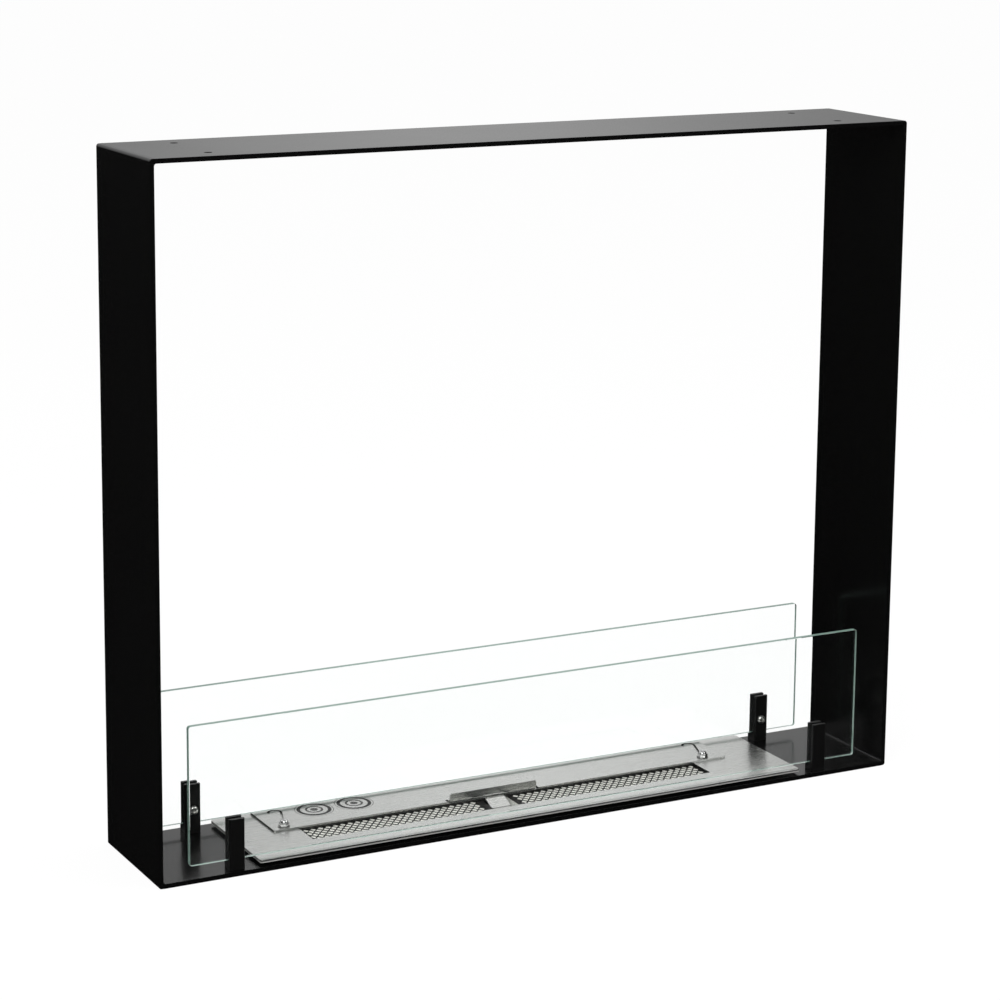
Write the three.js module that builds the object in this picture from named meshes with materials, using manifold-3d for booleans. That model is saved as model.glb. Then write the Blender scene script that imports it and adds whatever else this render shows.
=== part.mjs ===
// See-through bioethanol fireplace: a flat steel frame, two glass screens in
// black forked holders, and a slim burner with a sliding cover.
// Millimetres, +Z up, front towards -Y. The origin is the centre of the
// underside of the bottom panel.

import * as THREE from 'three';
import { mergeVertices } from 'three/addons/utils/BufferGeometryUtils.js';
import Module from 'manifold-3d';

const wasm = await Module();
wasm.setup();

// ---- Driving dimensions ----

// Frame
const frameWidth = 900;
const frameHeight = 750;
const frameDepth = 150;
const frameSheet = 5;
const frameCornerRadius = 3;
const weldFillet = 2.5;
const topHoleDiameter = 8.5;
const topHoleFromSide = 73.5;
const topHoleFromEdge = 29;

// Glass screens
const glassFromSide = 33;
const glassHeight = 150;
const glassThickness = 6;
const glassCornerRadius = 3;
const glassAboveFloor = 10;

// Glass holders
const holderFromSide = 84;
const holderInset = 5;
const holderWidth = 17;
const holderHeight = 55;
const holderCheek = 4;
const holderChamfer = 1.5;
const linerThickness = 0.75;
const linerShort = 2;
const glassClearance = 0.25;
const clampScrewDiameter = 6;
const clampHeadDiameter = 10.5;
const clampHeadHeight = 3.3;
const clampSocketSize = 4;
const clampSocketDepth = 2;
const clampScrewAboveFloor = 26;
const fixingScrewDiameter = 5;
const fixingHeadDiameter = 9;
const fixingHeadRecess = 0.25;
const fixingScrewReach = 7;
const holeClearance = 0.15;

// Burner
const plateFromHolder = 17.5;
const plateFromEdge = 5;
const plateSheet = 2;
const plateCornerRadius = 3;
const openingFromPlateEnd = 87;
const openingWidth = 36.5;
const openingFromPlateFront = 36.5;
const openingShift = -12;
const tankFromPlateEnd = 35;
const tankFromPlateFront = 24;
const tankSheet = 1;
const tankCornerRadius = 8;
const tankRim = 8;
const tankAboveGround = 0.3;
const gasketThickness = 3;
const cutOutClearance = 1;

// Filling tongue, bent down from the plate at the rear edge of the opening
const tongueWidth = 23.5;
const tongueShift = -11.5;
const tongueSheet = 1.2;
const tongueReach = 17;
const tongueSlope = 24;
const tongueBendRun = 4;

// Expanded mesh and ceramic wool
const meshThickness = 1.2;
const meshBelowPlate = 0.1;
const meshLap = 5;
const meshPitchX = 8.8;
const meshPitchY = 10.5;
const meshStrand = 2;
const meshLines = 7;
const meshTongueGap = 4;
const woolMargin = 1;

// Sliding cover
const coverFromPlateEnd = 51;
const coverFromPlateBack = 1;
const coverSheet = 2;
const coverShift = -5;
const coverGap = 0.1;
const coverCornerRadius = 1.5;
const guideFromCoverEnd = 20.5;
const guideShift = -5.5;
const guideFromCoverFront = 8;
const slotFromCoverBack = 15.5;
const slotRunSideways = 15;
const hookRadius = 7;
const guideSlotWidth = 2.6;
const lipLength = 108;
const lipShift = -19;
const lipHeight = 10.7;
const lipBendRadius = 4;
const lipCornerRadius = 3;
const lipNotchWidth = 3;
const lipNotchDepth = 3;

// Guide studs, washers and cap nuts
const studDiameter = 2.2;
const studThreadReach = 3.5;
const washerDiameter = 13;
const washerThickness = 0.8;
const nutAcrossFlats = 10;
const nutHexHeight = 4;
const nutHeight = 7.5;
const nutDomeDiameter = 9.4;
const seatGap = 0.1;

const roundSides = 24;

// ---- Derived places ----

const floorTop = frameSheet;
const innerHalfWidth = frameWidth / 2 - frameSheet;
const glassWidth = 2 * (innerHalfWidth - glassFromSide);
const holderSpacing = 2 * (innerHalfWidth - holderFromSide);
const holderDepth = 2 * (holderCheek + linerThickness + glassClearance) + glassThickness;
const holderOffsetY = frameDepth / 2 - holderInset - holderDepth / 2;
const glassBottom = floorTop + glassAboveFloor;
const holderSlot = holderDepth - 2 * holderCheek;

const plateLength = holderSpacing - holderWidth - 2 * plateFromHolder;
const plateDepth = frameDepth - 2 * plateFromEdge;
const plateBottom = floorTop + gasketThickness + tankSheet;
const plateTop = plateBottom + plateSheet;
const tankLength = plateLength - 2 * tankFromPlateEnd;
const tankDepth = plateDepth - 2 * tankFromPlateFront;
const openingLength = plateLength - 2 * openingFromPlateEnd;
const openingFront = -plateDepth / 2 + openingFromPlateFront;
const openingBack = openingFront + openingWidth;
const openingLeft = openingShift - openingLength / 2;
const openingRight = openingShift + openingLength / 2;
const tongueLeft = openingShift + tongueShift - tongueWidth / 2;
const tongueRight = tongueLeft + tongueWidth;

const coverBottom = plateTop + coverGap;
const coverTop = coverBottom + coverSheet;
const coverFront = openingBack;
const coverLength = plateLength - 2 * coverFromPlateEnd;
const coverDepth = plateDepth / 2 - coverFromPlateBack - coverFront;
const guideSpacing = coverLength - 2 * guideFromCoverEnd;
const guideMiddle = coverShift + guideShift;
const guideY = coverFront + guideFromCoverFront;
const slotRunForward = coverDepth - guideFromCoverFront - slotFromCoverBack;
const washerTop = coverTop + seatGap + washerThickness;

// ---- Materials ----

const blackSteel = new THREE.MeshStandardMaterial({
  color: 0x0b0b0b, roughness: 0.45, metalness: 0.3,
});
const blackHolder = new THREE.MeshStandardMaterial({
  color: 0x060606, roughness: 0.35, metalness: 0.3,
});
const brushedSteel = new THREE.MeshStandardMaterial({
  color: 0xc9c9c7, roughness: 0.32, metalness: 1,
});
const plainSteel = new THREE.MeshStandardMaterial({
  color: 0x9a9a98, roughness: 0.4, metalness: 1,
});
const chrome = new THREE.MeshStandardMaterial({
  color: 0xe6e6e6, roughness: 0.08, metalness: 1,
});
const clearGlass = new THREE.MeshStandardMaterial({
  color: 0xb8ccc4, roughness: 0.02, metalness: 0, transparent: true, opacity: 0.25,
});
const blackRubber = new THREE.MeshStandardMaterial({
  color: 0x0d0d0d, roughness: 0.8, metalness: 0,
});
const ceramicWool = new THREE.MeshStandardMaterial({
  color: 0xe8e6e0, roughness: 0.95, metalness: 0,
});
const darkMesh = new THREE.MeshStandardMaterial({
  color: 0x4a4846, roughness: 0.5, metalness: 0.9,
});
const greyGasket = new THREE.MeshStandardMaterial({
  color: 0x3c3c3a, roughness: 0.9, metalness: 0,
});

// ---- Shape helpers ----

// A closed outline through the given corners, each rounded by its own radius.
function roundedOutline(corners) {
  const shape = new THREE.Shape();
  const count = corners.length;
  corners.forEach(([x, y, radius = 0], index) => {
    const here = new THREE.Vector2(x, y);
    const before = new THREE.Vector2(...corners[(index + count - 1) % count]);
    const after = new THREE.Vector2(...corners[(index + 1) % count]);
    const towardsBefore = before.sub(here).normalize();
    const towardsAfter = after.sub(here).normalize();
    const halfAngle = Math.acos(towardsBefore.dot(towardsAfter)) / 2;
    const setBack = radius / Math.tan(halfAngle);
    const start = here.clone().addScaledVector(towardsBefore, setBack);
    const end = here.clone().addScaledVector(towardsAfter, setBack);
    if (index === 0) {
      shape.moveTo(start.x, start.y);
    } else {
      shape.lineTo(start.x, start.y);
    }
    if (radius > 0) {
      const middle = towardsBefore.clone().add(towardsAfter).normalize();
      const centre = here.clone().addScaledVector(middle, radius / Math.sin(halfAngle));
      const startAngle = Math.atan2(start.y - centre.y, start.x - centre.x);
      const endAngle = Math.atan2(end.y - centre.y, end.x - centre.x);
      const turn = Math.atan2(Math.sin(endAngle - startAngle), Math.cos(endAngle - startAngle));
      shape.absarc(centre.x, centre.y, radius, startAngle, startAngle + turn, turn < 0);
    }
  });
  shape.closePath();
  return shape;
}

function rectangle(left, right, front, back, radius = 0) {
  return roundedOutline([
    [left, front, radius],
    [right, front, radius],
    [right, back, radius],
    [left, back, radius],
  ]);
}

function circle(x, y, diameter) {
  const shape = new THREE.Shape();
  shape.absarc(x, y, diameter / 2, 0, 2 * Math.PI, false);
  return shape;
}

// The outline of a strip of even thickness that follows a centre line.
function stripOutline(line, thickness) {
  const sides = [1, -1].map((side) => line.map((point, index) => {
    const before = line[Math.max(index - 1, 0)];
    const after = line[Math.min(index + 1, line.length - 1)];
    const along = after.clone().sub(before).normalize();
    const across = new THREE.Vector2(-along.y, along.x);
    return point.clone().addScaledVector(across, side * thickness / 2);
  }));
  return new THREE.Shape([...sides[0], ...sides[1].reverse()]);
}

// An outline in X and Y, raised from bottom to top.
function slab(outline, bottom, top, curveSegments = 4) {
  const geometry = new THREE.ExtrudeGeometry(outline, {
    depth: top - bottom, bevelEnabled: false, curveSegments,
  });
  return geometry.translate(0, 0, bottom);
}

// An outline in Y and Z, run along X from left to right.
function runAlongX(outline, left, right, curveSegments = 4) {
  const geometry = new THREE.ExtrudeGeometry(outline, {
    depth: right - left, bevelEnabled: false, curveSegments,
  });
  geometry.applyMatrix4(new THREE.Matrix4().makeBasis(
    new THREE.Vector3(0, 1, 0), new THREE.Vector3(0, 0, 1), new THREE.Vector3(1, 0, 0),
  ));
  return geometry.translate(left, 0, 0);
}

// An outline in X and Z, run along Y from front to back.
function runAlongY(outline, front, back, curveSegments = 4) {
  const geometry = new THREE.ExtrudeGeometry(outline, {
    depth: back - front, bevelEnabled: false, curveSegments,
  });
  geometry.rotateX(Math.PI / 2);
  return geometry.translate(0, back, 0);
}

function turned(profile, sides = roundSides) {
  const points = profile.map(([radius, height]) => new THREE.Vector2(radius, height));
  return new THREE.LatheGeometry(points, sides).rotateX(Math.PI / 2);
}

function upright(diameter, bottom, top, x = 0, y = 0) {
  return slab(circle(x, y, diameter), bottom, top, roundSides);
}

// ---- Joining and cutting ----

function toSolid(geometry) {
  const bare = geometry.clone();
  bare.deleteAttribute('normal');
  bare.deleteAttribute('uv');
  const merged = mergeVertices(bare, 1e-4);
  return new wasm.Manifold(new wasm.Mesh({
    numProp: 3,
    vertProperties: new Float32Array(merged.attributes.position.array),
    triVerts: new Uint32Array(merged.index.array),
  }));
}

function toGeometry(solid) {
  const mesh = solid.getMesh();
  const geometry = new THREE.BufferGeometry();
  geometry.setAttribute('position', new THREE.BufferAttribute(mesh.vertProperties, 3));
  geometry.setIndex(new THREE.BufferAttribute(mesh.triVerts, 1));
  geometry.computeVertexNormals();
  return geometry;
}

function cut(body, tools) {
  const solid = tools.reduce((rest, tool) => rest.subtract(toSolid(tool)), toSolid(body));
  return toGeometry(solid);
}

function join(parts) {
  const [first, ...others] = parts;
  return toGeometry(others.reduce((whole, part) => whole.add(toSolid(part)), toSolid(first)));
}

// ---- Scene graph ----

const fireplace = new THREE.Group();

function addPart(name, geometry, material, x = 0, y = 0, z = 0) {
  const mesh = new THREE.Mesh(geometry, material);
  mesh.name = name;
  mesh.position.set(x, y, z);
  fireplace.add(mesh);
  return mesh;
}

const sides = [['left', -1], ['right', 1]];
const rows = [['front', -1], ['rear', 1]];

// ---- Frame: four panels of flat bar, welded at the corners ----

function sidePanel(side) {
  const outer = side * frameWidth / 2;
  const inner = side * innerHalfWidth;
  const outline = roundedOutline([
    [outer, 0, frameCornerRadius],
    [inner, 0],
    [inner, frameHeight],
    [outer, frameHeight, frameCornerRadius],
  ]);
  return runAlongY(outline, -frameDepth / 2, frameDepth / 2);
}

// A level panel between the side panels, with a weld fillet in each inner corner.
function levelPanel(outerZ, inward) {
  const innerZ = outerZ + inward * frameSheet;
  const filletZ = innerZ + inward * weldFillet;
  const outline = new THREE.Shape();
  outline.moveTo(-innerHalfWidth, outerZ);
  outline.lineTo(innerHalfWidth, outerZ);
  outline.lineTo(innerHalfWidth, filletZ);
  outline.quadraticCurveTo(innerHalfWidth, innerZ, innerHalfWidth - weldFillet, innerZ);
  outline.lineTo(-innerHalfWidth + weldFillet, innerZ);
  outline.quadraticCurveTo(-innerHalfWidth, innerZ, -innerHalfWidth, filletZ);
  outline.closePath();
  return runAlongY(outline, -frameDepth / 2, frameDepth / 2);
}

const topHoles = sides.flatMap(([, side]) => rows.map(([, row]) => upright(
  topHoleDiameter,
  frameHeight - 2 * frameSheet,
  frameHeight + frameSheet,
  side * (frameWidth / 2 - topHoleFromSide),
  row * (frameDepth / 2 - topHoleFromEdge),
)));

// Holder places: x and y of each holder's centre, and which way its burner side faces.
const holderPlaces = rows.flatMap(([rowName, row]) => sides.map(([sideName, side]) => ({
  name: `${rowName}_${sideName}`,
  x: side * holderSpacing / 2,
  y: row * holderOffsetY,
  burnerSide: -row,
})));

// A countersunk screw about its own axis, head down, its flat end at height 0.
function countersunkProfile(headDiameter, shankDiameter, length) {
  const coneHeight = (headDiameter - shankDiameter) / 2;
  return [
    [0, 0],
    [headDiameter / 2, 0],
    [shankDiameter / 2, coneHeight],
    [shankDiameter / 2, length],
    [0, length],
  ];
}

const fixingScrewLength = frameSheet + fixingScrewReach - fixingHeadRecess;

const floorScrewHoles = holderPlaces.map(({ x, y }) => {
  const profile = countersunkProfile(
    fixingHeadDiameter + 2 * holeClearance + 2 * fixingHeadRecess,
    fixingScrewDiameter + 2 * holeClearance,
    2 * frameSheet,
  );
  const flared = [[0, -1], [profile[1][0], -1], ...profile.slice(1)];
  return turned(flared).translate(x, y, 0);
});

// The tank's plan, grown by a margin on every side.
function tankOutline(margin, radius) {
  return rectangle(
    -tankLength / 2 - margin, tankLength / 2 + margin,
    -tankDepth / 2 - margin, tankDepth / 2 + margin, radius,
  );
}

const tankCutOut = slab(
  tankOutline(cutOutClearance, tankCornerRadius + cutOutClearance), -1, frameSheet + 1,
);

for (const [name, side] of sides) {
  addPart(`frame_${name}_panel`, sidePanel(side), blackSteel);
}
addPart('frame_top_panel', cut(levelPanel(frameHeight, -1), topHoles), blackSteel);
addPart('frame_bottom_panel', cut(levelPanel(0, 1), [tankCutOut, ...floorScrewHoles]), blackSteel);

// ---- Glass holders: a square block with a slot for the glass ----

const slotBottom = glassAboveFloor - linerThickness;

function holder(burnerSide) {
  const half = holderDepth / 2;
  const body = slab(rectangle(
    -holderWidth / 2, holderWidth / 2, -half, half, holderChamfer,
  ), 0, holderHeight, 2);
  const slot = slab(rectangle(
    -holderWidth, holderWidth, -holderSlot / 2, holderSlot / 2,
  ), slotBottom, holderHeight + 1);
  const screwHole = upright(clampScrewDiameter + 2 * holeClearance, 0, holderDepth);
  screwHole.rotateX(-burnerSide * Math.PI / 2);
  screwHole.translate(0, 0, clampScrewAboveFloor);
  const fixingHole = upright(
    fixingScrewDiameter + 2 * holeClearance, -1, fixingScrewReach + holeClearance,
  );
  return cut(body, [slot, screwHole, fixingHole]);
}

// A rubber channel that lines the slot under and beside the glass.
function liner() {
  const half = holderSlot / 2;
  const top = holderHeight - linerShort;
  const outline = new THREE.Shape([
    [-half, slotBottom], [half, slotBottom], [half, top], [half - linerThickness, top],
    [half - linerThickness, glassAboveFloor], [linerThickness - half, glassAboveFloor],
    [linerThickness - half, top], [-half, top],
  ].map(([y, z]) => new THREE.Vector2(y, z)));
  return runAlongX(outline, -holderWidth / 2, holderWidth / 2);
}

// A button-head screw with a hexagon socket, its head on the burner side of the holder.
function clampScrew(burnerSide) {
  const rim = clampHeadDiameter / 2;
  const shank = clampScrewDiameter / 2;
  const domeSteps = 5;
  const dome = Array.from({ length: domeSteps }, (_, step) => {
    const angle = (step / domeSteps) * Math.PI / 2;
    return [rim * Math.cos(angle * 0.72), clampHeadHeight * Math.sin(angle)];
  });
  const topRadius = rim * Math.cos(Math.PI / 2 * 0.72);
  const body = turned([
    [0, seatGap - holderCheek], [shank, seatGap - holderCheek], [shank, 0],
    ...dome, [topRadius, clampHeadHeight], [0, clampHeadHeight],
  ]);
  const socket = new THREE.CylinderGeometry(
    clampSocketSize / Math.sqrt(3), clampSocketSize / Math.sqrt(3), clampSocketDepth * 2, 6,
  ).rotateX(Math.PI / 2).translate(0, 0, clampHeadHeight);
  return cut(body, [socket]).rotateX(-burnerSide * Math.PI / 2);
}

for (const { name, x, y, burnerSide } of holderPlaces) {
  const face = y + burnerSide * holderDepth / 2;
  const screwZ = floorTop + clampScrewAboveFloor;
  addPart(`glass_holder_${name}`, holder(burnerSide), blackHolder, x, y, floorTop);
  addPart(`holder_liner_${name}`, liner(), blackRubber, x, y, floorTop);
  addPart(`clamp_screw_${name}`, clampScrew(burnerSide), chrome, x, face, screwZ);
  addPart(
    `fixing_screw_${name}`,
    turned(countersunkProfile(fixingHeadDiameter, fixingScrewDiameter, fixingScrewLength)),
    plainSteel, x, y, fixingHeadRecess,
  );
}

// ---- Glass screens ----

for (const [name, row] of rows) {
  const outline = rectangle(
    -glassWidth / 2, glassWidth / 2, glassBottom, glassBottom + glassHeight, glassCornerRadius,
  );
  const pane = runAlongY(outline, -glassThickness / 2, glassThickness / 2);
  addPart(`${name}_glass`, pane, clearGlass, 0, row * holderOffsetY, 0);
}

// ---- Burner: tank hung by its rim on a gasket, under the top plate ----

const rimRadius = tankCornerRadius + tankRim;
const tub = slab(tankOutline(0, tankCornerRadius), tankAboveGround, plateBottom);
const rim = slab(tankOutline(tankRim, rimRadius), plateBottom - tankSheet, plateBottom);
const hollow = slab(
  tankOutline(-tankSheet, tankCornerRadius - tankSheet),
  tankAboveGround + tankSheet, plateBottom + 1,
);
addPart('burner_tank', cut(join([tub, rim]), [hollow]), plainSteel);

const gasketOutline = tankOutline(tankRim, rimRadius);
gasketOutline.holes.push(tankOutline(cutOutClearance, tankCornerRadius + cutOutClearance));
addPart('burner_gasket', slab(gasketOutline, floorTop, floorTop + gasketThickness), greyGasket);

// The filling tongue bends down from the plate at the rear edge of the opening
// and slopes forward into the tank.
function fillingTongue() {
  const slope = THREE.MathUtils.degToRad(tongueSlope);
  const middleZ = plateTop - tongueSheet / 2;
  const line = new THREE.Path();
  line.moveTo(openingBack + tongueSheet, middleZ);
  line.lineTo(openingBack, middleZ);
  line.quadraticCurveTo(
    openingBack - tongueBendRun / 2, middleZ,
    openingBack - tongueBendRun, middleZ - tongueBendRun / 2 * Math.tan(slope),
  );
  line.lineTo(
    openingBack - tongueReach, middleZ - (tongueReach - tongueBendRun / 2) * Math.tan(slope),
  );
  const outline = stripOutline(line.getPoints(4), tongueSheet);
  return runAlongX(outline, tongueLeft, tongueRight);
}

function topPlate() {
  const outline = rectangle(
    -plateLength / 2, plateLength / 2, -plateDepth / 2, plateDepth / 2, plateCornerRadius,
  );
  outline.holes.push(rectangle(openingLeft, openingRight, openingFront, openingBack));
  for (const [, side] of sides) {
    const studX = guideMiddle + side * guideSpacing / 2;
    outline.holes.push(circle(studX, guideY, studDiameter + 2 * holeClearance));
  }
  return join([slab(outline, plateBottom, plateTop, 6), fillingTongue()]);
}

addPart('burner_top_plate', topPlate(), brushedSteel);

// ---- Expanded mesh over ceramic wool, left and right of the tongue ----

const meshTop = plateBottom - meshBelowPlate;
const meshBottom = meshTop - meshThickness;

function diamond(x, y) {
  const halfX = meshPitchX / 2 - meshStrand / 2;
  const halfY = meshPitchY / 2 - meshStrand / 2;
  return new THREE.Path([
    new THREE.Vector2(x - halfX, y),
    new THREE.Vector2(x, y - halfY),
    new THREE.Vector2(x + halfX, y),
    new THREE.Vector2(x, y + halfY),
  ]);
}

// Diamonds in staggered rows, filling the length between two solid margins.
function meshStrip(left, right) {
  const outline = rectangle(left, right, openingFront - meshLap, openingBack + meshLap);
  const middleY = (openingFront + openingBack) / 2;
  const columns = Math.floor((right - left) / meshPitchX) - 1;
  const firstX = (left + right) / 2 - (columns - 1) * meshPitchX / 2;
  for (let line = 0; line < meshLines; line += 1) {
    const y = middleY + (line - (meshLines - 1) / 2) * meshPitchY / 2;
    const staggered = line % 2;
    for (let column = 0; column < columns - staggered; column += 1) {
      const x = firstX + (column + staggered / 2) * meshPitchX;
      outline.holes.push(diamond(x, y));
    }
  }
  return slab(outline, meshBottom, meshTop);
}

// The pads fill the tank, but for the well under the filling tongue.
function woolPad(left, right) {
  const half = tankDepth / 2 - tankSheet - woolMargin;
  const outline = rectangle(left, right, -half, half, tankCornerRadius - tankSheet - woolMargin);
  return slab(outline, tankAboveGround + tankSheet, meshBottom);
}

const wellLeft = tongueLeft - meshTongueGap;
const wellRight = tongueRight + meshTongueGap;
const woolEnd = tankLength / 2 - tankSheet - woolMargin;
addPart('mesh_left', meshStrip(openingLeft - meshLap, wellLeft), darkMesh);
addPart('mesh_right', meshStrip(wellRight, openingRight + meshLap), darkMesh);
addPart('wool_pad_left', woolPad(-woolEnd, wellLeft), ceramicWool);
addPart('wool_pad_right', woolPad(wellRight, woolEnd), ceramicWool);

// ---- Sliding cover with a cane-shaped guide slot at each end and a lip to push ----

// A centre line's points, without repeats.
function pointsAlong(path, divisions) {
  return path.getPoints(divisions).filter((point, index, all) => (
    index === 0 || point.distanceTo(all[index - 1]) > 1e-6
  ));
}

// The slot runs back and to the right from the stud, then hooks round to the left.
function guideSlot(x) {
  const heading = Math.atan2(slotRunForward, slotRunSideways);
  const cornerX = x + slotRunSideways;
  const cornerY = guideY + slotRunForward;
  const path = new THREE.Path();
  path.moveTo(x, guideY);
  path.lineTo(cornerX, cornerY);
  path.absarc(
    cornerX - hookRadius * Math.sin(heading), cornerY + hookRadius * Math.cos(heading),
    hookRadius, heading - Math.PI / 2, Math.PI, false,
  );
  const line = pointsAlong(path, 12);
  const run = slab(stripOutline(line, guideSlotWidth), coverBottom - 1, coverTop + 1);
  const ends = [line[0], line[line.length - 1]].map(({ x: endX, y: endY }) => (
    upright(guideSlotWidth, coverBottom - 1, coverTop + 1, endX, endY)
  ));
  return join([run, ...ends]);
}

function pushLip(lipMiddle) {
  const middle = lipBendRadius - coverSheet / 2;
  const line = new THREE.Path();
  line.moveTo(coverFront + lipBendRadius + 1, coverSheet / 2);
  line.lineTo(coverFront + lipBendRadius, coverSheet / 2);
  line.absarc(
    coverFront + lipBendRadius, lipBendRadius, middle, 1.5 * Math.PI, Math.PI, true,
  );
  line.lineTo(coverFront + coverSheet / 2, lipHeight);
  const strip = runAlongX(
    stripOutline(pointsAlong(line, 6), coverSheet), lipMiddle - lipLength / 2, lipMiddle + lipLength / 2,
  );
  return strip.translate(0, 0, coverBottom);
}

// Rounds the two upper corners of the lip.
function lipCornerCuts(lipMiddle) {
  return sides.map(([, side]) => {
    const endX = lipMiddle + side * lipLength / 2;
    const topZ = coverBottom + lipHeight;
    const corner = new THREE.Shape();
    corner.moveTo(endX + side, topZ + 1);
    corner.lineTo(endX + side, topZ - lipCornerRadius);
    corner.lineTo(endX, topZ - lipCornerRadius);
    corner.quadraticCurveTo(endX, topZ, endX - side * lipCornerRadius, topZ);
    corner.lineTo(endX - side * lipCornerRadius, topZ + 1);
    corner.closePath();
    return runAlongY(corner, coverFront - 1, coverFront + coverSheet + 1);
  });
}

function slidingCover() {
  const lipMiddle = coverShift + lipShift;
  const bendBack = coverFront + lipBendRadius;
  const lipLeft = lipMiddle - lipLength / 2;
  const lipRight = lipMiddle + lipLength / 2;
  const notchBack = bendBack + lipNotchDepth;
  const outline = roundedOutline([
    [coverShift - coverLength / 2, coverFront, coverCornerRadius],
    [lipLeft - lipNotchWidth, coverFront],
    [lipLeft - lipNotchWidth, notchBack],
    [lipLeft, notchBack],
    [lipLeft, bendBack],
    [lipRight, bendBack],
    [lipRight, notchBack],
    [lipRight + lipNotchWidth, notchBack],
    [lipRight + lipNotchWidth, coverFront],
    [coverShift + coverLength / 2, coverFront, coverCornerRadius],
    [coverShift + coverLength / 2, coverFront + coverDepth, coverCornerRadius],
    [coverShift - coverLength / 2, coverFront + coverDepth, coverCornerRadius],
  ]);
  const sheet = slab(outline, coverBottom, coverTop);
  const lip = cut(pushLip(lipMiddle), lipCornerCuts(lipMiddle));
  const slots = sides.map(([, side]) => guideSlot(guideMiddle + side * guideSpacing / 2));
  return cut(join([sheet, lip]), slots);
}

addPart('sliding_cover', slidingCover(), brushedSteel);

// ---- Guide studs, washers and cap nuts ----

function capNut() {
  const domeRadius = nutDomeDiameter / 2;
  const steps = 6;
  const dome = Array.from({ length: steps }, (_, step) => {
    const angle = (step / steps) * Math.PI / 2;
    return [
      domeRadius * Math.cos(angle),
      nutHexHeight + (nutHeight - nutHexHeight) * Math.sin(angle),
    ];
  });
  const cap = turned([[0, nutHexHeight / 2], [domeRadius, nutHexHeight / 2], ...dome, [0, nutHeight]]);
  const hexRadius = nutAcrossFlats / Math.sqrt(3);
  const hex = new THREE.CylinderGeometry(hexRadius, hexRadius, nutHexHeight, 6);
  hex.rotateX(Math.PI / 2).translate(0, 0, nutHexHeight / 2);
  const bore = upright(studDiameter + 2 * holeClearance, -1, studThreadReach + holeClearance);
  return cut(join([hex, cap]), [bore]);
}

for (const [name, side] of sides) {
  const x = guideMiddle + side * guideSpacing / 2;
  const washer = circle(0, 0, washerDiameter);
  washer.holes.push(circle(0, 0, studDiameter + 2 * holeClearance));
  addPart(
    `guide_stud_${name}`, upright(studDiameter, plateBottom, washerTop + studThreadReach),
    plainSteel, x, guideY,
  );
  addPart(
    `guide_washer_${name}`, slab(washer, coverTop + seatGap, washerTop, roundSides),
    plainSteel, x, guideY,
  );
  addPart(`guide_nut_${name}`, capNut(), chrome, x, guideY, washerTop);
}

export default fireplace;
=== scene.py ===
from math import radians, cos, sin

import bmesh
import bpy
from mathutils import Matrix, Vector


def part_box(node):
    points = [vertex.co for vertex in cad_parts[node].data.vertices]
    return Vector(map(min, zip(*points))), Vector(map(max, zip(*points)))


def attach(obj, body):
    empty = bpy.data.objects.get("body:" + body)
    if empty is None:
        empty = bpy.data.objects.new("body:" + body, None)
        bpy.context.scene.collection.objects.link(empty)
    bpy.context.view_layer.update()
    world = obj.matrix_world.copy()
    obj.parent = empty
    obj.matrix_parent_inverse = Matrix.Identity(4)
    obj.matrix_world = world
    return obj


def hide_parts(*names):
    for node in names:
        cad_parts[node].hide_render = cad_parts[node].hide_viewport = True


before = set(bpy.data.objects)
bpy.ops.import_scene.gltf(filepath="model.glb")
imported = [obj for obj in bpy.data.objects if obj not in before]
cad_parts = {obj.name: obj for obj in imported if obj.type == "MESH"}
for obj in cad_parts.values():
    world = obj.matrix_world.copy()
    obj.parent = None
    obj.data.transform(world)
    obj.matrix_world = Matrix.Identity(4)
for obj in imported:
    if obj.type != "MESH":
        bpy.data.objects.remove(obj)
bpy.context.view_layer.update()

mm = 0.001
near = 0.01 * mm  # places closer than this are the same
facing = 0.9  # a face looks along an axis when its normal has at least this much of it
steep = 0.4  # and is steep when its normal has less than this of Z
print("frame loaded:", len(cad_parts), "nodes")

camera = {  # fitted to the photograph
    "place": (-1.4599, -2.6990, 1.0794),  # metres, in the model's frame
    "yaw": 27.215,  # degrees to the right of straight on
    "pitch": 10.616,  # degrees below level
    "roll": 0.367,
    "sensor": 36,  # mm
    "lens": 103.84,  # mm
    "shift": (0.0418, -0.1426),
    "clip": (0.05, 60),  # metres, nearest and farthest
}


def makeCamera():
    data = bpy.data.cameras.new("photoCamera")
    data.sensor_width = camera["sensor"]
    data.lens = camera["lens"]
    data.shift_x, data.shift_y = camera["shift"]
    data.clip_start, data.clip_end = camera["clip"]
    cam = bpy.data.objects.new("photoCamera", data)
    bpy.context.scene.collection.objects.link(cam)
    turn = (
        Matrix.Rotation(radians(-camera["yaw"]), 4, "Z")
        @ Matrix.Rotation(radians(90 - camera["pitch"]), 4, "X")
        @ Matrix.Rotation(radians(camera["roll"]), 4, "Z")
    )
    cam.matrix_world = Matrix.Translation(Vector(camera["place"])) @ turn
    bpy.context.scene.camera = cam


makeCamera()
print("camera placed")


def hexToLinear(hexCode):
    # sRGB, as a paint chart gives it, to linear light
    channels = [int(hexCode[i:i + 2], 16) / 255 for i in (1, 3, 5)]
    linear = [c / 12.92 if c <= 0.04045 else ((c + 0.055) / 1.055) ** 2.4 for c in channels]
    return (*linear, 1.0)


def addNode(tree, kind, settings=None, links=None):
    # settings: attribute or socket values; links: socket to the output that feeds it
    node = tree.nodes.new(kind)
    for key, value in (settings or {}).items():
        if hasattr(node, key):
            setattr(node, key, value)
        else:
            node.inputs[key].default_value = value
    for key, source in (links or {}).items():
        tree.links.new(source, node.inputs[key])
    return node


def newMaterial(name):
    material = bpy.data.materials.new(name)
    material.use_nodes = True
    material.node_tree.nodes.clear()
    return material, material.node_tree


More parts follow.
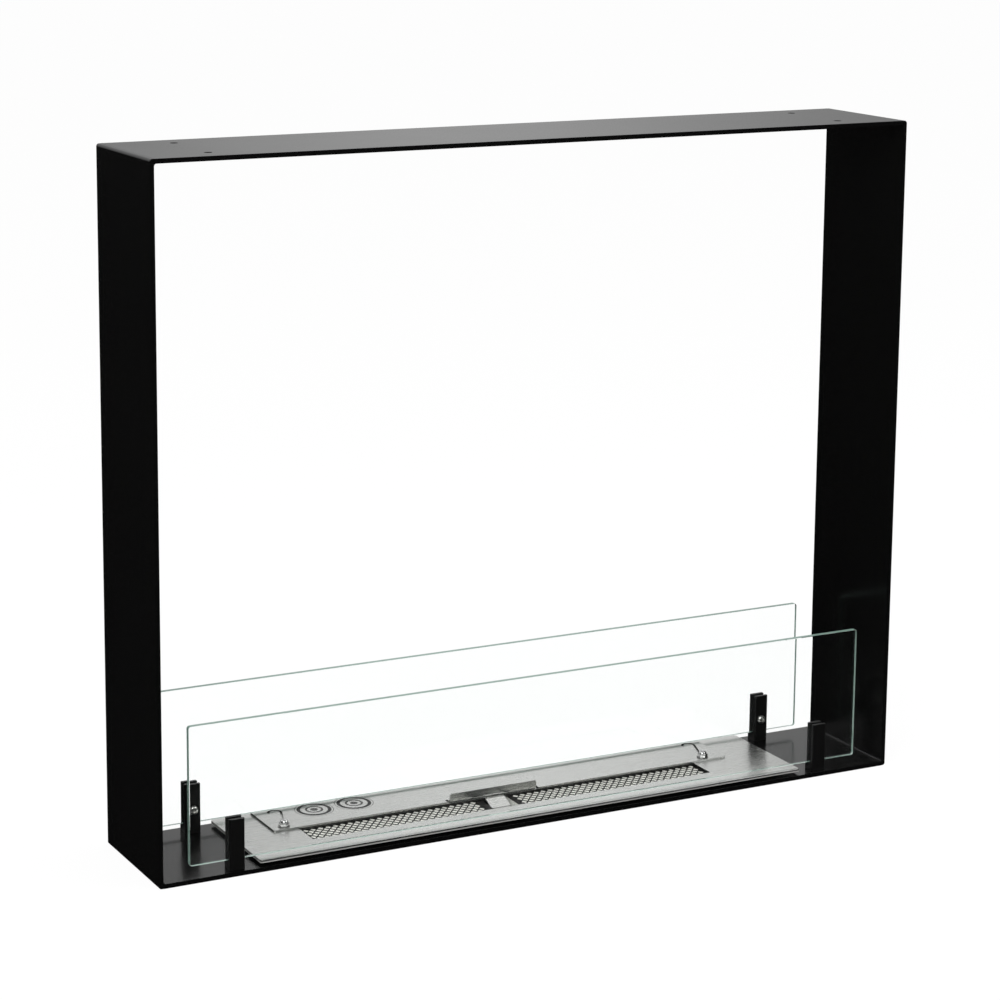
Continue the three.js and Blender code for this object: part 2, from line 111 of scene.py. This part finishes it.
def objectPattern(tree, scale):
    coords = addNode(tree, "ShaderNodeTexCoord")
    return addNode(
        tree, "ShaderNodeMapping", {"Scale": scale}, {"Vector": coords.outputs["Object"]}
    ).outputs["Vector"]


def remap(tree, source, low, high):
    return addNode(
        tree, "ShaderNodeMapRange", {"To Min": low, "To Max": high}, {"Value": source}
    ).outputs["Result"]


def mixColours(tree, share, first, second):
    # first and second are colours or outputs
    mix = addNode(tree, "ShaderNodeMix", {"data_type": "RGBA"}, {0: share})
    for socket, colour in ((mix.inputs[6], first), (mix.inputs[7], second)):
        if isinstance(colour, tuple):
            socket.default_value = colour
        else:
            tree.links.new(colour, socket)
    return mix.outputs[2]


def finished(material, values, links):
    tree = material.node_tree
    shader = addNode(tree, "ShaderNodeBsdfPrincipled", values, links)
    addNode(tree, "ShaderNodeOutputMaterial", {}, {"Surface": shader.outputs["BSDF"]})
    return material


powderCoat = {
    "colour": "#050505",
    "peel": 350,  # per metre: an orange peel of about 3 mm
    "cloud": 9.0,  # per metre: patches of gloss about 110 mm across
    "roughness": (0.14, 0.22),
    "specular": 0.45,
    "bump": (0.03, 0.5),  # strength and height in mm
}


def makePowderCoat(name, values):
    # polyester powder coat, oven cured: deep black that mirrors only at a low angle
    material, tree = newMaterial(name)
    where = objectPattern(tree, (1, 1, 1))
    peel = addNode(
        tree, "ShaderNodeTexNoise", {"Scale": values["peel"], "Detail": 2.0}, {"Vector": where}
    )
    cloud = addNode(
        tree, "ShaderNodeTexNoise", {"Scale": values["cloud"], "Detail": 3.0}, {"Vector": where}
    )
    strength, height = values["bump"]
    bump = addNode(
        tree, "ShaderNodeBump", {"Strength": strength, "Distance": height * mm},
        {"Height": peel.outputs["Fac"]},
    )
    return finished(
        material,
        {
            "Base Color": hexToLinear(values["colour"]),
            "Specular IOR Level": values["specular"],
        },
        {
            "Roughness": remap(tree, cloud.outputs["Fac"], *values["roughness"]),
            "Normal": bump.outputs["Normal"],
        },
    )


brushedSteel = {
    "bright": "#e8e8e6",
    "dark": "#dadad8",
    "lines": (20, 2600, 2600),  # per metre: strokes of about 50 mm by 0.4 mm
    "cloud": 7.0,  # per metre: patches of gloss about 140 mm across
    "cloudDepth": 0.04,
    "roughness": (0.22, 0.32),
    "stretch": 0.7,  # how far a highlight is drawn out across the strokes
    "bump": (0.025, 0.2),  # strength and height in mm
    "etched": "#1e1e1d",
}


def distanceFrom(tree, x, y):
    # how far a point is from a vertical line, in metres
    offset = addNode(
        tree, "ShaderNodeVectorMath", {"operation": "SUBTRACT"},
        {"Vector": addNode(tree, "ShaderNodeTexCoord").outputs["Object"]},
    )
    offset.inputs[1].default_value = (x * mm, y * mm, 0)
    flat = addNode(
        tree, "ShaderNodeVectorMath", {"operation": "MULTIPLY"},
        {"Vector": offset.outputs["Vector"]},
    )
    flat.inputs[1].default_value = (1, 1, 0)
    reach = addNode(
        tree, "ShaderNodeVectorMath", {"operation": "LENGTH"}, {"Vector": flat.outputs["Vector"]}
    )
    return reach.outputs["Value"]


def ringMask(tree, distance, radius, stroke, depth):
    # depth on the ring, 0 elsewhere
    ring = addNode(tree, "ShaderNodeMath", {"operation": "COMPARE"}, {0: distance})
    ring.inputs[1].default_value = radius * mm
    ring.inputs[2].default_value = stroke / 2 * mm
    mask = addNode(tree, "ShaderNodeMath", {"operation": "MULTIPLY"}, {0: ring.outputs[0]})
    mask.inputs[1].default_value = depth
    return mask.outputs[0]


def makeBrushedSteel(name, values, centres=(), rings=()):
    # 304 stainless sheet, long-grain brushed along its length; rings are laser-etched
    material, tree = newMaterial(name)
    strokes = addNode(
        tree, "ShaderNodeTexNoise", {"Scale": 1.0, "Detail": 3.0, "Roughness": 0.6},
        {"Vector": objectPattern(tree, values["lines"])},
    )
    cloud = addNode(
        tree, "ShaderNodeTexNoise", {"Scale": values["cloud"], "Detail": 2.0},
        {"Vector": objectPattern(tree, (1, 1, 1))},
    )
    colour = mixColours(
        tree, strokes.outputs["Fac"], hexToLinear(values["dark"]), hexToLinear(values["bright"])
    )
    for x, y in centres:
        distance = distanceFrom(tree, x, y)
        for ring in rings:
            mask = ringMask(tree, distance, *ring)
            colour = mixColours(tree, mask, colour, hexToLinear(values["etched"]))
    roughness = addNode(
        tree, "ShaderNodeMath", {"operation": "ADD"},
        {
            0: remap(tree, strokes.outputs["Fac"], *values["roughness"]),
            1: remap(tree, cloud.outputs["Fac"], -values["cloudDepth"], values["cloudDepth"]),
        },
    )
    strength, height = values["bump"]
    bump = addNode(
        tree, "ShaderNodeBump", {"Strength": strength, "Distance": height * mm},
        {"Height": strokes.outputs["Fac"]},
    )
    across = addNode(tree, "ShaderNodeCombineXYZ", {"X": 0.0, "Y": 1.0, "Z": 0.0})
    return finished(
        material, {"Metallic": 1.0, "Anisotropic": values["stretch"]},
        {
            "Base Color": colour,
            "Roughness": roughness.outputs[0],
            "Normal": bump.outputs["Normal"],
            "Tangent": across.outputs["Vector"],
        },
    )


def makeMottled(name, colours, roughness, grain, bump, metallic=0.0, specular=0.5):
    # plain metal, rubber or wool: a fine mottle in colour, gloss and height;
    # grain is per metre, so 1000 for a grain of 1 mm, and bump is strength and height in mm
    material, tree = newMaterial(name)
    mottle = addNode(
        tree, "ShaderNodeTexNoise", {"Scale": grain, "Detail": 5.0, "Roughness": 0.6},
        {"Vector": objectPattern(tree, (1, 1, 1))},
    )
    height = addNode(
        tree, "ShaderNodeBump", {"Strength": bump[0], "Distance": bump[1] * mm},
        {"Height": mottle.outputs["Fac"]},
    )
    # the noise keeps near its middle, so it is spread to reach both colours
    spread = remap(tree, mottle.outputs["Fac"], -0.5, 1.5)
    return finished(
        material, {"Metallic": metallic, "Specular IOR Level": specular},
        {
            "Base Color": mixColours(tree, spread, *(hexToLinear(c) for c in colours)),
            "Roughness": remap(tree, mottle.outputs["Fac"], *roughness),
            "Normal": height.outputs["Normal"],
        },
    )


floatGlass = {
    "depth": "#5f9a86",
    "density": 5.0,  # per metre: clear through 6 mm, green along the pane
    "ior": 1.52,
    "smear": 6.0,  # per metre: wiping marks about 170 mm across
    "roughness": (0.0, 0.004),
    "shadow": (0.93, 0.96, 0.95, 1),
    "arris": 0.6,  # mm ground off each edge
    "edge": "#9fc0b3",
    "edgeGrind": 700.0,  # per metre: grinding marks of 1.4 mm, coarse enough to show
    "edgeRoughness": (0.2, 0.4),
    "edgeTransmission": 0.5,
}


def makeGlass():
    # toughened soda-lime float glass: clear, with a faint green depth and faint wiping marks
    material, tree = newMaterial("toughenedFloatGlass")
    smear = addNode(
        tree, "ShaderNodeTexNoise", {"Scale": floatGlass["smear"], "Detail": 2.0},
        {"Vector": objectPattern(tree, (1, 1, 1))},
    )
    shader = addNode(
        tree, "ShaderNodeBsdfPrincipled",
        {"Base Color": (1, 1, 1, 1), "IOR": floatGlass["ior"], "Transmission Weight": 1.0},
        {"Roughness": remap(tree, smear.outputs["Fac"], *floatGlass["roughness"])},
    )
    depth = addNode(
        tree, "ShaderNodeVolumeAbsorption",
        {"Color": hexToLinear(floatGlass["depth"]), "Density": floatGlass["density"]},
    )
    through = addNode(tree, "ShaderNodeBsdfTransparent", {"Color": floatGlass["shadow"]})
    path = addNode(tree, "ShaderNodeLightPath")
    mix = addNode(
        tree, "ShaderNodeMixShader", {},
        {
            0: path.outputs["Is Shadow Ray"],
            1: shader.outputs["BSDF"],
            2: through.outputs["BSDF"],
        },
    )
    addNode(
        tree, "ShaderNodeOutputMaterial", {},
        {"Surface": mix.outputs["Shader"], "Volume": depth.outputs["Volume"]},
    )
    return material


def makeGlassEdge():
    # the same glass where its edge is ground and polished: a milky green
    material, tree = newMaterial("groundGlassEdge")
    grind = addNode(
        tree, "ShaderNodeTexNoise", {"Scale": floatGlass["edgeGrind"], "Detail": 3.0},
        {"Vector": objectPattern(tree, (1, 1, 1))},
    )
    return finished(
        material,
        {
            "Base Color": hexToLinear(floatGlass["edge"]),
            "IOR": floatGlass["ior"],
            "Transmission Weight": floatGlass["edgeTransmission"],
        },
        {"Roughness": remap(tree, grind.outputs["Fac"], *floatGlass["edgeRoughness"])},
    )


coverMarks = {
    "centres": [(-223, 46), (-175, 46)],  # x and y in mm
    # each ring's radius and stroke in mm, and how dark its etching is
    "rings": [(17.2, 4.0, 1.0), (21.4, 1.0, 0.6), (8.8, 2.6, 0.9), (2.2, 4.4, 0.9)],
}

finishes = {
    "blackPowderCoat": makePowderCoat("blackPowderCoat", powderCoat),
    # the same coat on the small blocks, duller
    "blackHolderCoat": makePowderCoat(
        "blackHolderCoat", {**powderCoat, "roughness": (0.3, 0.42), "specular": 0.5}
    ),
    "brushedStainless": makeBrushedSteel("brushedStainless", brushedSteel),
    "etchedStainless": makeBrushedSteel(
        "etchedStainless", brushedSteel, coverMarks["centres"], coverMarks["rings"]
    ),
    # a laser-cut edge: scorched and dull; its dark colour is partly the oxide and partly painted
    # shade for the walls of the slots and the opening
    "cutEdgeOxideAndPaintedShade": makeMottled(
        "cutEdgeOxideAndPaintedShade", ("#454544", "#636361"), (0.45, 0.6), 1500, (0.1, 0.1), 1.0
    ),
    # mill-rolled 304 stainless: a dull mirror
    "rolledStainless": makeMottled(
        "rolledStainless", ("#8a8a88", "#a6a6a4"), (0.28, 0.42), 900, (0.05, 0.2), 1.0
    ),
    # a pressed and blasted fold: pale, without a mirror image
    "foldedStainless": makeMottled(
        "foldedStainless", ("#e4e4e2", "#f2f2f0"), (0.84, 0.94), 900, (0.05, 0.1), 1.0
    ),
    # bright nickel-chrome plate: a sharp mirror
    "polishedChrome": makeMottled(
        "polishedChrome", ("#dedede", "#ededed"), (0.05, 0.1), 1500, (0.01, 0.1), 1.0
    ),
    # bright zinc plate: a soft mirror
    "zincPlatedSteel": makeMottled(
        "zincPlatedSteel", ("#d8d8d4", "#eaeae6"), (0.22, 0.32), 1200, (0.03, 0.1), 1.0
    ),
    # expanded steel blackened by the flame: dark, with a dull sheen
    "expandedSteel": makeMottled(
        "expandedSteel", ("#0b0a0a", "#1d1b19"), (0.4, 0.55), 700, (0.1, 0.2), 0.3
    ),
    # extruded rubber channel: matt black
    "epdmRubber": makeMottled(
        "epdmRubber", ("#0e0e0e", "#181818"), (0.7, 0.9), 900, (0.2, 0.3), 0.0, 0.3
    ),
    # punched graphite sheet: matt dark grey
    "graphiteGasket": makeMottled(
        "graphiteGasket", ("#151514", "#252523"), (0.8, 0.95), 1200, (0.3, 0.3), 0.0, 0.3
    ),
    # needled ceramic fibre: white, soft and uneven
    "ceramicWool": makeMottled(
        "ceramicWool", ("#d6d3cb", "#fbf9f4"), (0.9, 1.0), 800, (0.8, 0.8), 0.0, 0.1
    ),
    "toughenedFloatGlass": makeGlass(),
    "groundGlassEdge": makeGlassEdge(),
}
print("materials made:", len(finishes))

cleaning = {
    "merge": 0.005,  # mm: points as close as this become one
    "flat": 0.5,  # degrees: a flatter edge is dissolved
    "mergeBroken": 0.002,  # mm, after the edges are broken
}


def linkPiece(name, bm, materials, body, smoothAngle=35):
    mesh = bpy.data.meshes.new(name)
    bm.to_mesh(mesh)
    bm.free()
    for material in materials:
        mesh.materials.append(finishes[material])
    piece = bpy.data.objects.new(name, mesh)
    bpy.context.scene.collection.objects.link(piece)
    if smoothAngle:
        mesh.shade_smooth()
        mesh.set_sharp_from_angle(angle=radians(smoothAngle))
        piece.modifiers.new("faceNormals", "WEIGHTED_NORMAL").keep_sharp = True
    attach(piece, body)
    return piece


def mergedCopy(node):
    bm = bmesh.new()
    bm.from_mesh(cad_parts[node].data)
    bmesh.ops.remove_doubles(bm, verts=bm.verts, dist=cleaning["merge"] * mm)
    bmesh.ops.dissolve_limit(
        bm, angle_limit=radians(cleaning["flat"]), use_dissolve_boundaries=False,
        verts=bm.verts, edges=bm.edges, delimit={"NORMAL"},
    )
    return bm


def sharpEdges(bm, angle):
    return [
        e for e in bm.edges
        if len(e.link_faces) == 2 and e.calc_face_angle(0) > radians(angle)
    ]


def bevelEdges(bm, chosen, width, segments):
    bmesh.ops.bevel(
        bm, geom=chosen, offset=width * mm, offset_type="OFFSET", segments=segments,
        profile=0.5, affect="EDGES", clamp_overlap=True, material=-1,
    )


def breakEdges(bm, width, angle=30):
    bevelEdges(bm, sharpEdges(bm, angle), width, segments=2)
    bmesh.ops.remove_doubles(bm, verts=bm.verts, dist=cleaning["mergeBroken"] * mm)


def markCutFaces(bm, isInside):
    # steep faces, where the laser cut the sheet, take the piece's second material: the dark cut
    # finish, scorched oxide with painted shade on the inner walls
    bm.normal_update()
    for face in bm.faces:
        isSteep = abs(face.normal.z) < steep
        face.material_index = int(isSteep and isInside(face.calc_center_median() / mm))


def dress(node, name, finish, width=0.0):
    bm = mergedCopy(node)
    if width:
        breakEdges(bm, width)
    piece = linkPiece(name, bm, [finish], "fireplace")
    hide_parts(node)


brokenEdges = {  # mm
    "panel": 0.5,
    "holder": 0.3,
    "screw": 0.15,
    "tank": 0.3,
    "washer": 0.1,
}
corners = [(row, side) for row in ("front", "rear") for side in ("left", "right")]
for side in ("left", "right", "top", "bottom"):
    dress(f"frame_{side}_panel", f"{side}Panel", "blackPowderCoat", brokenEdges["panel"])
for row, side in corners:
    where = f"{row}{side.capitalize()}"
    dress(f"glass_holder_{row}_{side}", f"{where}Holder", "blackHolderCoat", brokenEdges["holder"])
    dress(f"holder_liner_{row}_{side}", f"{where}Liner", "epdmRubber")
    dress(f"clamp_screw_{row}_{side}", f"{where}ClampScrew", "zincPlatedSteel", brokenEdges["screw"])
    dress(f"fixing_screw_{row}_{side}", f"{where}FixingScrew", "rolledStainless")
dress("burner_tank", "burnerTank", "rolledStainless", brokenEdges["tank"])
dress("burner_gasket", "burnerGasket", "graphiteGasket")
for side in ("left", "right"):
    dress(f"guide_stud_{side}", f"{side}GuideStud", "rolledStainless")
    dress(f"guide_washer_{side}", f"{side}GuideWasher", "rolledStainless", brokenEdges["washer"])
print("CAD pieces dressed")

cover = {
    "edge": 0.2,  # mm, how far its edges are broken
    "sharp": 40,  # degrees: the edges that are sharper than this
    "lipBack": 6.0,  # mm: before this y the cut edges are brushed, behind it, in the slots, dark: scorched by the laser and painted shade
}


def makeCover():
    bm = mergedCopy("sliding_cover")
    breakEdges(bm, cover["edge"], cover["sharp"])
    # the cut walls of the slots take the dark finish: scorched oxide with painted shade
    markCutFaces(bm, lambda place: place.y > cover["lipBack"])
    piece = linkPiece("slidingCover", bm, ["etchedStainless", "cutEdgeOxideAndPaintedShade"], "cover")
    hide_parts("sliding_cover")


plate = {
    "edge": 1.6,  # mm: the rounding of the folded edge
    "edgeSteps": 4,
    "sharp": 40,  # degrees: a sharper edge is rounded
    "corner": 3.0,  # mm, in plan
    "cornerSteps": 5,
    "fold": 1.2,  # mm: thickness of the edge that is folded down to the floor panel
    "foldGap": 0.2,  # mm above the floor panel
    "cutFrom": 1.0,  # mm: cut edges are dark from this far inside the outline, scorched oxide with painted shade on the opening's walls
}


def makePlate():
    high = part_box("burner_top_plate")[1]
    bm = mergedCopy("burner_top_plate")

    def atRim(point):
        atEnd = abs(point.x) > high.x - plate["corner"] * mm - near
        atSide = abs(point.y) > high.y - near
        return point.z > high.z - near and (atEnd or atSide)

    def isInside(place):
        reach = high / mm - Vector((1, 1, 0)) * plate["cutFrom"]
        return abs(place.x) < reach.x and abs(place.y) < reach.y

    rim = [e for e in sharpEdges(bm, plate["sharp"]) if all(atRim(v.co) for v in e.verts)]
    bevelEdges(bm, rim, plate["edge"], plate["edgeSteps"])
    # the walls of the opening take the dark finish: scorched oxide with painted shade
    markCutFaces(bm, isInside)
    piece = linkPiece("burnerPlate", bm, ["brushedStainless", "cutEdgeOxideAndPaintedShade"], "fireplace")
    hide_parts("burner_top_plate")


def makePlateFold():
    # the plate's edge, folded down all round to just above the floor panel
    low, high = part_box("burner_top_plate")
    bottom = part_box("frame_bottom_panel")[1].z + plate["foldGap"] * mm
    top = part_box("burner_tank")[1].z
    bm = bmesh.new()
    bmesh.ops.create_cube(bm, size=1.0)
    bmesh.ops.scale(bm, vec=(high.x - low.x, high.y - low.y, top - bottom), verts=bm.verts)
    bmesh.ops.translate(bm, vec=(0, 0, (top + bottom) / 2), verts=bm.verts)
    upright = [e for e in bm.edges if abs(e.verts[0].co.z - e.verts[1].co.z) > near]
    bevelEdges(bm, upright, plate["corner"], plate["cornerSteps"])
    bm.normal_update()
    flat = [f for f in bm.faces if abs(f.normal.z) > facing]
    bmesh.ops.delete(bm, geom=flat, context="FACES")
    bmesh.ops.solidify(bm, geom=bm.faces[:], thickness=plate["fold"] * mm)
    bmesh.ops.recalc_face_normals(bm, faces=bm.faces)
    linkPiece("plateFold", bm, ["foldedStainless"], "fireplace")


makeCover()
makePlate()
makePlateFold()
print("plate and cover made")

expandedMesh = {
    "slimmer": 0.28,  # mm off each side of a strand
    "flatter": 0.5,  # share of its height that is left
}


def makeExpandedMesh(side):
    bm = mergedCopy(f"mesh_{side}")
    bm.normal_update()
    for vert in bm.verts:
        vert.co -= vert.normal * expandedMesh["slimmer"] * mm
    base = min(vert.co.z for vert in bm.verts)
    for vert in bm.verts:
        vert.co.z = base + (vert.co.z - base) * expandedMesh["flatter"]
    sheet = linkPiece(f"{side}ExpandedMesh", bm, ["expandedSteel"], "fireplace")
    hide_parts(f"mesh_{side}")


for side in ("left", "right"):
    makeExpandedMesh(side)
print("expanded mesh made")

capNut = {
    "hexHeight": 4.0,  # mm
    "chamfer": 0.6,  # mm
    "dome": 9.4,  # mm across
    "sunk": 0.1,  # mm that the dome stands in the hexagon
    "domeSteps": (40, 24),
}


def makeCapNut(side):
    low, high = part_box(f"guide_nut_{side}")
    size = high - low
    hexTop = low.z + capNut["hexHeight"] * mm
    bm = bmesh.new()
    corner = max(size.x, size.y) / 2
    hexagon = bmesh.ops.create_cone(
        bm, cap_ends=True, segments=6, radius1=corner, radius2=corner, depth=hexTop - low.z
    )["verts"]
    if size.x > size.y:  # it is widest from corner to corner
        bmesh.ops.rotate(bm, verts=hexagon, matrix=Matrix.Rotation(radians(30), 3, "Z"))
    bmesh.ops.translate(bm, verts=hexagon, vec=(0, 0, (low.z + hexTop) / 2))
    ends = [e for e in bm.edges if abs(e.verts[0].co.z - e.verts[1].co.z) < near]
    bevelEdges(bm, ends, capNut["chamfer"], segments=2)
    around, upward = capNut["domeSteps"]
    radius = capNut["dome"] / 2 * mm
    dome = bmesh.ops.create_uvsphere(
        bm, u_segments=around, v_segments=upward, radius=radius
    )["verts"]
    bmesh.ops.scale(bm, verts=dome, vec=(1, 1, (high.z - hexTop) / radius))
    bmesh.ops.translate(bm, verts=dome, vec=(0, 0, hexTop))
    domeEdges = {e for v in dome for e in v.link_edges}
    domeFaces = {f for v in dome for f in v.link_faces}
    bmesh.ops.bisect_plane(
        bm, geom=[*dome, *domeEdges, *domeFaces], plane_co=(0, 0, hexTop - capNut["sunk"] * mm),
        plane_no=(0, 0, 1), clear_inner=True,
    )
    bmesh.ops.holes_fill(bm, edges=[e for e in bm.edges if e.is_boundary])
    centre = (low + high) / 2
    bmesh.ops.translate(bm, verts=bm.verts, vec=(centre.x, centre.y, 0))
    bmesh.ops.recalc_face_normals(bm, faces=bm.faces)
    piece = linkPiece(f"{side}CapNut", bm, ["polishedChrome"], "fireplace")
    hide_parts(f"guide_nut_{side}")


for side in ("left", "right"):
    makeCapNut(side)
print("cap nuts made")


def makePane(row):
    bm = mergedCopy(f"{row}_glass")
    breakEdges(bm, floatGlass["arris"])
    bm.normal_update()
    for face in bm.faces:
        face.material_index = int(abs(face.normal.y) < facing)
    pane = linkPiece(
        f"{row}Pane", bm, ["toughenedFloatGlass", "groundGlassEdge"], f"{row}_screen", smoothAngle=0
    )
    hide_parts(f"{row}_glass")


for row in ("front", "rear"):
    makePane(row)
print("glass panes made")

wool = {
    "step": 2.5,  # mm between the points of the top
    "lift": 0.35,  # mm from the lowest to the highest point of the top
    "inset": 0.2,  # mm from the pad's box
    "corner": 6.0,  # mm, in plan, at the tank's ends
    "cornerSteps": 5,
    "waves": ((913, 0), (0, 1277), (2203, 1741)),  # per metre in x and y
}


def makeWool(side):
    low, high = (Vector(v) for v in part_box(f"wool_pad_{side}"))
    inset = wool["inset"] * mm
    size = high - low - Vector((1, 1, 0)) * 2 * inset
    bm = bmesh.new()
    bmesh.ops.create_cube(bm, size=1.0)
    bmesh.ops.scale(bm, vec=size, verts=bm.verts)
    bmesh.ops.translate(bm, vec=(low + high) / 2, verts=bm.verts)
    outer = max(abs(v.co.x) for v in bm.verts)
    ends = [e for e in bm.edges if all(abs(v.co.x) > outer - near for v in e.verts)]
    upright = [e for e in ends if e.verts[0].co.y * e.verts[1].co.y > 0]
    bevelEdges(bm, upright, wool["corner"], wool["cornerSteps"])
    for axis in (0, 1):
        count = round(size[axis] / (wool["step"] * mm))
        normal = Vector((0, 0, 0))
        normal[axis] = 1
        for cut in range(1, count):
            place = low.copy()
            place[axis] += inset + size[axis] * cut / count
            bmesh.ops.bisect_plane(
                bm, geom=bm.verts[:] + bm.edges[:] + bm.faces[:], plane_co=place, plane_no=normal
            )
    for vert in bm.verts:
        if vert.co.z > high.z - near:
            long, short, fine = (vert.co.x * x + vert.co.y * y for x, y in wool["waves"])
            wave = sin(long) * cos(short) + sin(fine)  # from -2 to 2
            vert.co.z -= wool["lift"] * mm * (0.5 + 0.25 * wave)
    piece = linkPiece(f"{side}WoolPad", bm, ["ceramicWool"], "fireplace", smoothAngle=60)
    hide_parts(f"wool_pad_{side}")


for side in ("left", "right"):
    makeWool(side)
print("wool pads made")

studio = {
    "floor": 30.0,  # metres across
    "floorColour": "#fafafa",
    "white": 1.0,  # behind the fireplace
    "shadowShare": 0.08,  # of the white floor that still takes the shadow
    "paneGain": 1.06,  # makes up for the white that each surface of a pane turns back
    "front": 0.06,  # the dark room before it, as the glass and the metal mirror it
    "fade": (-0.35, 0.15),  # direction Y, from dark to white
    "horizon": (0.0, 0.32, 0.42),  # direction Z, from low to full, and how bright it is when low
    "glow": (0.45, 0.16, 0.58),  # direction X of the brightest part, its reach, and what is beyond
    "mirroredFloor": 0.01,
    "sky": 0.8,  # soft light on matt surfaces
    "lampAim": (0, 0, 0.3),
    "lamps": {  # watts, place and width in metres
        "keyLamp": (70, (-1.6, -1.8, 2.6), 2.4),
        "fillLamp": (35, (2.2, -1.2, 2.2), 2.4),
    },
}


def rayKinds(tree):
    # reflected: mirrored on its way; clear: straight to the camera or through a pane;
    # gain: what makes up for the panes that it crossed; diffuse: it lights a matt surface
    path = addNode(tree, "ShaderNodeLightPath").outputs
    reflected = addNode(
        tree, "ShaderNodeMath", {"operation": "GREATER_THAN"}, {0: path["Glossy Depth"]}
    )
    reflected.inputs[1].default_value = 0.5  # the depth is a whole number
    gain = addNode(
        tree, "ShaderNodeMath", {"operation": "POWER"}, {1: path["Transmission Depth"]}
    )
    gain.inputs[0].default_value = studio["paneGain"]
    clear = addNode(
        tree, "ShaderNodeMath", {"operation": "MAXIMUM"},
        {0: path["Is Camera Ray"], 1: path["Is Transmission Ray"]},
    )
    return {
        "reflected": reflected.outputs[0],
        "clear": clear.outputs[0],
        "gain": gain.outputs[0],
        "diffuse": path["Is Diffuse Ray"],
    }


def mixShaders(tree, share, first, second):
    return addNode(
        tree, "ShaderNodeMixShader", {}, {0: share, 1: first.outputs[0], 2: second.outputs[0]}
    )


def makeFloor():
    material, tree = newMaterial("paleStudioFloor")
    ray = rayKinds(tree)
    shade = addNode(
        tree, "ShaderNodeBsdfDiffuse", {"Color": hexToLinear(studio["floorColour"])}
    )
    mirrored = addNode(tree, "ShaderNodeEmission", {"Strength": studio["mirroredFloor"]})
    white = addNode(tree, "ShaderNodeEmission", {}, {"Strength": ray["gain"]})
    seen = addNode(
        tree, "ShaderNodeMixShader", {"Fac": studio["shadowShare"]},
        {1: white.outputs[0], 2: shade.outputs[0]},
    )
    plain = mixShaders(tree, ray["clear"], shade, seen)
    mix = mixShaders(tree, ray["reflected"], plain, mirrored)
    addNode(tree, "ShaderNodeOutputMaterial", {}, {"Surface": mix.outputs["Shader"]})
    bm = bmesh.new()
    bmesh.ops.create_grid(bm, x_segments=1, y_segments=1, size=studio["floor"] / 2)
    mesh = bpy.data.meshes.new("studioFloor")
    bm.to_mesh(mesh)
    bm.free()
    mesh.materials.append(material)
    floor = bpy.data.objects.new("studioFloor", mesh)
    bpy.context.scene.collection.objects.link(floor)


def gradient(tree, source, start, end, low, high):
    return addNode(
        tree, "ShaderNodeMapRange",
        {
            "interpolation_type": "SMOOTHSTEP", "From Min": start, "From Max": end,
            "To Min": low, "To Max": high,
        },
        {"Value": source},
    ).outputs["Result"]


def product(tree, first, second):
    return addNode(
        tree, "ShaderNodeMath", {"operation": "MULTIPLY"}, {0: first, 1: second}
    ).outputs[0]


def makeWorld():
    world = bpy.data.worlds.new("whiteStudio")
    bpy.context.scene.world = world
    world.use_nodes = True
    tree = world.node_tree
    tree.nodes.clear()
    ray = rayKinds(tree)
    direction = addNode(tree, "ShaderNodeTexCoord").outputs["Generated"]
    along = addNode(tree, "ShaderNodeSeparateXYZ", {}, {"Vector": direction}).outputs
    depth = gradient(tree, along["Y"], *studio["fade"], studio["front"], studio["white"])
    start, end, low = studio["horizon"]
    height = gradient(tree, along["Z"], start, end, low, 1.0)
    middle, reach, beyond = studio["glow"]
    aside = addNode(tree, "ShaderNodeMath", {"operation": "SUBTRACT"}, {0: along["X"]})
    aside.inputs[1].default_value = middle
    away = addNode(tree, "ShaderNodeMath", {"operation": "ABSOLUTE"}, {0: aside.outputs[0]})
    glow = gradient(tree, away.outputs[0], 0.0, reach, 1.0, beyond)
    strength = product(tree, depth, product(tree, height, glow))
    soft = addNode(tree, "ShaderNodeBackground", {"Strength": studio["sky"]})
    mirrored = addNode(tree, "ShaderNodeBackground", {}, {"Strength": strength})
    white = addNode(tree, "ShaderNodeBackground", {}, {"Strength": ray["gain"]})
    for background in (soft, mirrored, white):
        background.inputs["Color"].default_value = (1, 1, 1, 1)
    sharp = mixShaders(tree, ray["reflected"], white, mirrored)
    mix = mixShaders(tree, ray["diffuse"], sharp, soft)
    addNode(tree, "ShaderNodeOutputWorld", {}, {"Surface": mix.outputs["Shader"]})


def makeLamp(name, power, place, size):
    lamp = bpy.data.lights.new(name, "AREA")
    lamp.shape = "SQUARE"
    lamp.size = size
    lamp.energy = power
    thing = bpy.data.objects.new(name, lamp)
    aim = Vector(studio["lampAim"]) - Vector(place)
    turn = aim.to_track_quat("-Z", "Y").to_matrix().to_4x4()
    thing.matrix_world = Matrix.Translation(place) @ turn
    bpy.context.scene.collection.objects.link(thing)


makeFloor()
makeWorld()
for name, values in studio["lamps"].items():
    makeLamp(name, *values)
bpy.context.scene.view_settings.view_transform = "Standard"
print("studio set")
